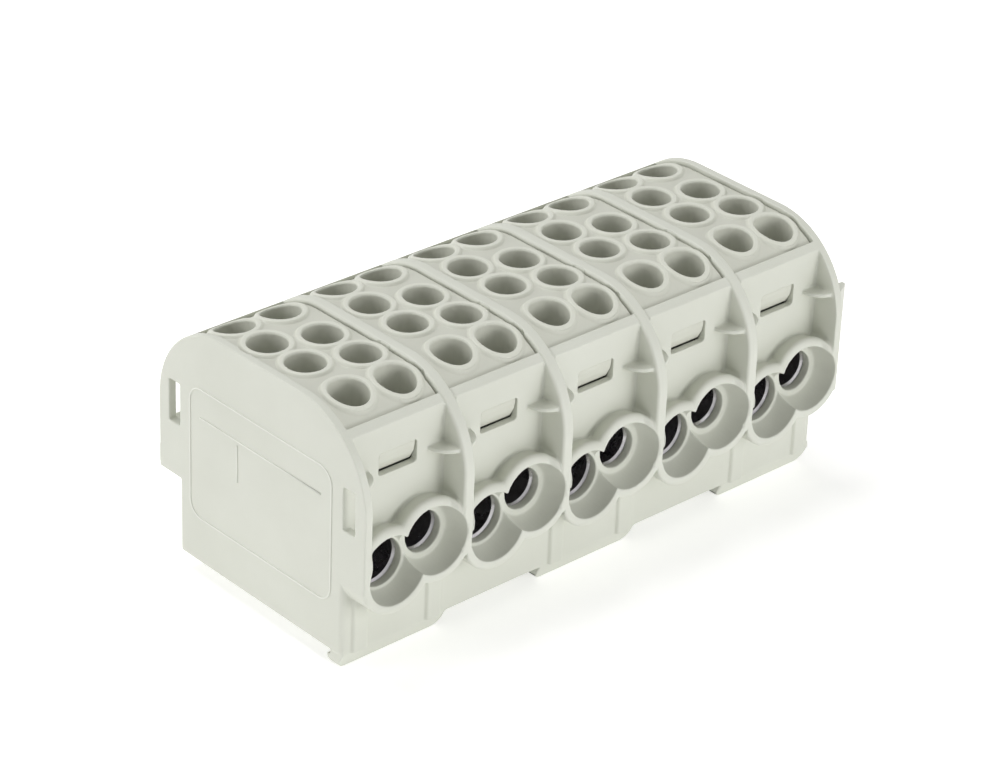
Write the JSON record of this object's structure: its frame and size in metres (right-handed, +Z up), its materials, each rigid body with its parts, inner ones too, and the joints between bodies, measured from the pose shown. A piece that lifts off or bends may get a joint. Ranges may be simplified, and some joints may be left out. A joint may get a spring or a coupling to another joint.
{
  "type": "power distribution block",
  "caption": "Grey moulded power distribution block for a mounting rail: side by side poles with funnel wire entries front and rear and screws reached through the top covers.",
  "frame": {"origin": "middle of the housing's length and depth, in the plane that lies on the rail's top", "axes": "+X along the row of poles towards the end with the hook tabs, +Z up away from the rail, -Y is the front"},
  "size_m": [0.111, 0.0518, 0.0462],
  "materials": {
    "housing": "fine satin moulding",
    "cover": "fine satin moulding",
    "plated_metal": "bright tin plating",
    "screw_steel": "zinc plated"
  },
  "bodies": {
    "block": {"housing": "housing", "cover_1": "cover", "cover_2": "cover", "cover_3": "cover", "cover_4": "cover", "cover_5": "cover", "connector_1": "plated_metal", "connector_2": "plated_metal", "connector_3": "plated_metal", "connector_4": "plated_metal", "connector_5": "plated_metal"},
    "large_screw_1_front_outer": {"large_screw_1_front_outer": "screw_steel"},
    "large_screw_1_front_inner": {"large_screw_1_front_inner": "screw_steel"},
    "large_screw_1_rear_inner": {"large_screw_1_rear_inner": "screw_steel"},
    "large_screw_1_rear_outer": {"large_screw_1_rear_outer": "screw_steel"},
    "large_screw_2_front_outer": {"large_screw_2_front_outer": "screw_steel"},
    "large_screw_2_front_inner": {"large_screw_2_front_inner": "screw_steel"},
    "large_screw_2_rear_inner": {"large_screw_2_rear_inner": "screw_steel"},
    "large_screw_2_rear_outer": {"large_screw_2_rear_outer": "screw_steel"},
    "large_screw_3_front_outer": {"large_screw_3_front_outer": "screw_steel"},
    "large_screw_3_front_inner": {"large_screw_3_front_inner": "screw_steel"},
    "large_screw_3_rear_inner": {"large_screw_3_rear_inner": "screw_steel"},
    "large_screw_3_rear_outer": {"large_screw_3_rear_outer": "screw_steel"},
    "large_screw_4_front_outer": {"large_screw_4_front_outer": "screw_steel"},
    "large_screw_4_front_inner": {"large_screw_4_front_inner": "screw_steel"},
    "large_screw_4_rear_inner": {"large_screw_4_rear_inner": "screw_steel"},
    "large_screw_4_rear_outer": {"large_screw_4_rear_outer": "screw_steel"},
    "large_screw_5_front_outer": {"large_screw_5_front_outer": "screw_steel"},
    "large_screw_5_front_inner": {"large_screw_5_front_inner": "screw_steel"},
    "large_screw_5_rear_inner": {"large_screw_5_rear_inner": "screw_steel"},
    "large_screw_5_rear_outer": {"large_screw_5_rear_outer": "screw_steel"},
    "small_screw_1_front_outer": {"small_screw_1_front_outer": "screw_steel"},
    "small_screw_1_front_inner": {"small_screw_1_front_inner": "screw_steel"},
    "small_screw_1_rear_inner": {"small_screw_1_rear_inner": "screw_steel"},
    "small_screw_1_rear_outer": {"small_screw_1_rear_outer": "screw_steel"},
    "small_screw_2_front_outer": {"small_screw_2_front_outer": "screw_steel"},
    "small_screw_2_front_inner": {"small_screw_2_front_inner": "screw_steel"},
    "small_screw_2_rear_inner": {"small_screw_2_rear_inner": "screw_steel"},
    "small_screw_2_rear_outer": {"small_screw_2_rear_outer": "screw_steel"},
    "small_screw_3_front_outer": {"small_screw_3_front_outer": "screw_steel"},
    "small_screw_3_front_inner": {"small_screw_3_front_inner": "screw_steel"},
    "small_screw_3_rear_inner": {"small_screw_3_rear_inner": "screw_steel"},
    "small_screw_3_rear_outer": {"small_screw_3_rear_outer": "screw_steel"},
    "small_screw_4_front_outer": {"small_screw_4_front_outer": "screw_steel"},
    "small_screw_4_front_inner": {"small_screw_4_front_inner": "screw_steel"},
    "small_screw_4_rear_inner": {"small_screw_4_rear_inner": "screw_steel"},
    "small_screw_4_rear_outer": {"small_screw_4_rear_outer": "screw_steel"},
    "small_screw_5_front_outer": {"small_screw_5_front_outer": "screw_steel"},
    "small_screw_5_front_inner": {"small_screw_5_front_inner": "screw_steel"},
    "small_screw_5_rear_inner": {"small_screw_5_rear_inner": "screw_steel"},
    "small_screw_5_rear_outer": {"small_screw_5_rear_outer": "screw_steel"}
  },
  "joints": [
    {"name": "large_screw_1_front_outer_travel", "type": "slide", "parent": "block", "child": "large_screw_1_front_outer", "axis": [0, 0, 1], "range_m": [-0.0066, 0]},
    {"name": "large_screw_1_front_inner_travel", "type": "slide", "parent": "block", "child": "large_screw_1_front_inner", "axis": [0, 0, 1], "range_m": [-0.0066, 0]},
    {"name": "large_screw_1_rear_inner_travel", "type": "slide", "parent": "block", "child": "large_screw_1_rear_inner", "axis": [0, 0, 1], "range_m": [-0.0066, 0]},
    {"name": "large_screw_1_rear_outer_travel", "type": "slide", "parent": "block", "child": "large_screw_1_rear_outer", "axis": [0, 0, 1], "range_m": [-0.0066, 0]},
    {"name": "large_screw_2_front_outer_travel", "type": "slide", "parent": "block", "child": "large_screw_2_front_outer", "axis": [0, 0, 1], "range_m": [-0.0066, 0]},
    {"name": "large_screw_2_front_inner_travel", "type": "slide", "parent": "block", "child": "large_screw_2_front_inner", "axis": [0, 0, 1], "range_m": [-0.0066, 0]},
    {"name": "large_screw_2_rear_inner_travel", "type": "slide", "parent": "block", "child": "large_screw_2_rear_inner", "axis": [0, 0, 1], "range_m": [-0.0066, 0]},
    {"name": "large_screw_2_rear_outer_travel", "type": "slide", "parent": "block", "child": "large_screw_2_rear_outer", "axis": [0, 0, 1], "range_m": [-0.0066, 0]},
    {"name": "large_screw_3_front_outer_travel", "type": "slide", "parent": "block", "child": "large_screw_3_front_outer", "axis": [0, 0, 1], "range_m": [-0.0066, 0]},
    {"name": "large_screw_3_front_inner_travel", "type": "slide", "parent": "block", "child": "large_screw_3_front_inner", "axis": [0, 0, 1], "range_m": [-0.0066, 0]},
    {"name": "large_screw_3_rear_inner_travel", "type": "slide", "parent": "block", "child": "large_screw_3_rear_inner", "axis": [0, 0, 1], "range_m": [-0.0066, 0]},
    {"name": "large_screw_3_rear_outer_travel", "type": "slide", "parent": "block", "child": "large_screw_3_rear_outer", "axis": [0, 0, 1], "range_m": [-0.0066, 0]},
    {"name": "large_screw_4_front_outer_travel", "type": "slide", "parent": "block", "child": "large_screw_4_front_outer", "axis": [0, 0, 1], "range_m": [-0.0066, 0]},
    {"name": "large_screw_4_front_inner_travel", "type": "slide", "parent": "block", "child": "large_screw_4_front_inner", "axis": [0, 0, 1], "range_m": [-0.0066, 0]},
    {"name": "large_screw_4_rear_inner_travel", "type": "slide", "parent": "block", "child": "large_screw_4_rear_inner", "axis": [0, 0, 1], "range_m": [-0.0066, 0]},
    {"name": "large_screw_4_rear_outer_travel", "type": "slide", "parent": "block", "child": "large_screw_4_rear_outer", "axis": [0, 0, 1], "range_m": [-0.0066, 0]},
    {"name": "large_screw_5_front_outer_travel", "type": "slide", "parent": "block", "child": "large_screw_5_front_outer", "axis": [0, 0, 1], "range_m": [-0.0066, 0]},
    {"name": "large_screw_5_front_inner_travel", "type": "slide", "parent": "block", "child": "large_screw_5_front_inner", "axis": [0, 0, 1], "range_m": [-0.0066, 0]},
    {"name": "large_screw_5_rear_inner_travel", "type": "slide", "parent": "block", "child": "large_screw_5_rear_inner", "axis": [0, 0, 1], "range_m": [-0.0066, 0]},
    {"name": "large_screw_5_rear_outer_travel", "type": "slide", "parent": "block", "child": "large_screw_5_rear_outer", "axis": [0, 0, 1], "range_m": [-0.0066, 0]},
    {"name": "small_screw_1_front_outer_travel", "type": "slide", "parent": "block", "child": "small_screw_1_front_outer", "axis": [0, 0, 1], "range_m": [-0.0065, 0]},
    {"name": "small_screw_1_front_inner_travel", "type": "slide", "parent": "block", "child": "small_screw_1_front_inner", "axis": [0, 0, 1], "range_m": [-0.0065, 0]},
    {"name": "small_screw_1_rear_inner_travel", "type": "slide", "parent": "block", "child": "small_screw_1_rear_inner", "axis": [0, 0, 1], "range_m": [-0.0065, 0]},
    {"name": "small_screw_1_rear_outer_travel", "type": "slide", "parent": "block", "child": "small_screw_1_rear_outer", "axis": [0, 0, 1], "range_m": [-0.0065, 0]},
    {"name": "small_screw_2_front_outer_travel", "type": "slide", "parent": "block", "child": "small_screw_2_front_outer", "axis": [0, 0, 1], "range_m": [-0.0065, 0]},
    {"name": "small_screw_2_front_inner_travel", "type": "slide", "parent": "block", "child": "small_screw_2_front_inner", "axis": [0, 0, 1], "range_m": [-0.0065, 0]},
    {"name": "small_screw_2_rear_inner_travel", "type": "slide", "parent": "block", "child": "small_screw_2_rear_inner", "axis": [0, 0, 1], "range_m": [-0.0065, 0]},
    {"name": "small_screw_2_rear_outer_travel", "type": "slide", "parent": "block", "child": "small_screw_2_rear_outer", "axis": [0, 0, 1], "range_m": [-0.0065, 0]},
    {"name": "small_screw_3_front_outer_travel", "type": "slide", "parent": "block", "child": "small_screw_3_front_outer", "axis": [0, 0, 1], "range_m": [-0.0065, 0]},
    {"name": "small_screw_3_front_inner_travel", "type": "slide", "parent": "block", "child": "small_screw_3_front_inner", "axis": [0, 0, 1], "range_m": [-0.0065, 0]},
    {"name": "small_screw_3_rear_inner_travel", "type": "slide", "parent": "block", "child": "small_screw_3_rear_inner", "axis": [0, 0, 1], "range_m": [-0.0065, 0]},
    {"name": "small_screw_3_rear_outer_travel", "type": "slide", "parent": "block", "child": "small_screw_3_rear_outer", "axis": [0, 0, 1], "range_m": [-0.0065, 0]},
    {"name": "small_screw_4_front_outer_travel", "type": "slide", "parent": "block", "child": "small_screw_4_front_outer", "axis": [0, 0, 1], "range_m": [-0.0065, 0]},
    {"name": "small_screw_4_front_inner_travel", "type": "slide", "parent": "block", "child": "small_screw_4_front_inner", "axis": [0, 0, 1], "range_m": [-0.0065, 0]},
    {"name": "small_screw_4_rear_inner_travel", "type": "slide", "parent": "block", "child": "small_screw_4_rear_inner", "axis": [0, 0, 1], "range_m": [-0.0065, 0]},
    {"name": "small_screw_4_rear_outer_travel", "type": "slide", "parent": "block", "child": "small_screw_4_rear_outer", "axis": [0, 0, 1], "range_m": [-0.0065, 0]},
    {"name": "small_screw_5_front_outer_travel", "type": "slide", "parent": "block", "child": "small_screw_5_front_outer", "axis": [0, 0, 1], "range_m": [-0.0065, 0]},
    {"name": "small_screw_5_front_inner_travel", "type": "slide", "parent": "block", "child": "small_screw_5_front_inner", "axis": [0, 0, 1], "range_m": [-0.0065, 0]},
    {"name": "small_screw_5_rear_inner_travel", "type": "slide", "parent": "block", "child": "small_screw_5_rear_inner", "axis": [0, 0, 1], "range_m": [-0.0065, 0]},
    {"name": "small_screw_5_rear_outer_travel", "type": "slide", "parent": "block", "child": "small_screw_5_rear_outer", "axis": [0, 0, 1], "range_m": [-0.0065, 0]}
  ]
}
